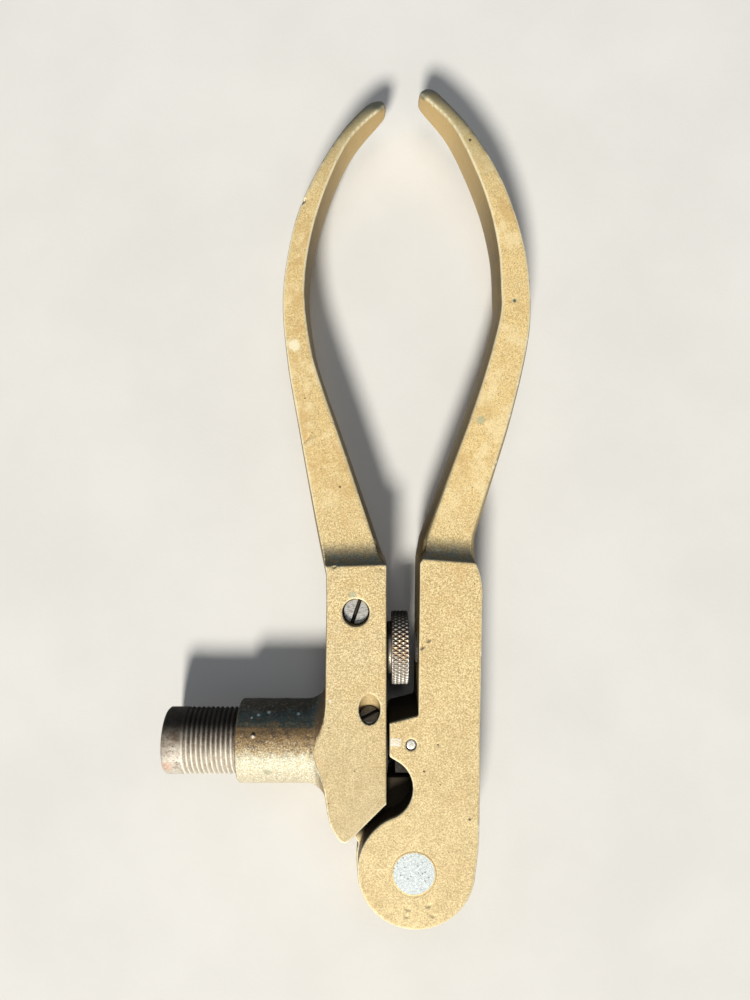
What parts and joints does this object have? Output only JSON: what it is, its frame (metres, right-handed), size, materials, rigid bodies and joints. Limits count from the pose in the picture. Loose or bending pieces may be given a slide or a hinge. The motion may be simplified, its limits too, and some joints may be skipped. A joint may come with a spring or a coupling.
{
  "type": "hinged hand press",
  "caption": "Hinged brass hand press shaped like tongs: bowed handles, a screw-in steel die facing an anvil, and a knurled thumbscrew that sets how far it closes.",
  "frame": {"origin": "the pivot rivet's axis on the back face, where the tool lies", "axes": "+Y up the handles, away from the pivot; +Z out of the front face; the die sleeve points along -X"},
  "size_m": [0.1061, 0.2409, 0.0254],
  "materials": {
    "cast_brass": "satin, worn sand-cast brass",
    "rivet_metal": "pale grey, speckled",
    "dark_steel": "dark, oiled",
    "bright_steel": "worn, machined",
    "knurled_steel": "knurled, light rust in the grooves",
    "rusty_steel": "brown, light rust"
  },
  "bodies": {
    "right_half": {"right_arm": "cast_brass", "pivot_rivet": "rivet_metal", "anvil_block": "dark_steel", "anvil_pin": "bright_steel", "stop_button": "bright_steel"},
    "left_half": {"left_arm": "cast_brass", "clamp_screw": "bright_steel", "die_lock_screw": "dark_steel"},
    "die": {"die_sleeve": "rusty_steel"},
    "stem": {"seating_stem": "bright_steel"},
    "adjuster": {"thumbscrew": "knurled_steel"}
  },
  "joints": [
    {"name": "jaw_pivot", "type": "hinge", "parent": "right_half", "child": "left_half", "pos_m": [0, 0, 0.0127], "axis": [0, 0, 1], "range_deg": [0, 75]},
    {"name": "die_turn", "type": "hinge", "parent": "left_half", "child": "die", "pos_m": [-0.04, 0.0334, 0.0127], "axis": [1, 0, 0], "continuous": true},
    {"name": "stem_turn", "type": "hinge", "parent": "die", "child": "stem", "pos_m": [-0.05, 0.0334, 0.0127], "axis": [1, 0, 0], "continuous": true},
    {"name": "thumbscrew_turn", "type": "hinge", "parent": "left_half", "child": "adjuster", "pos_m": [-0.01, 0.0608, 0.0127], "axis": [1, 0, 0], "continuous": true}
  ]
}
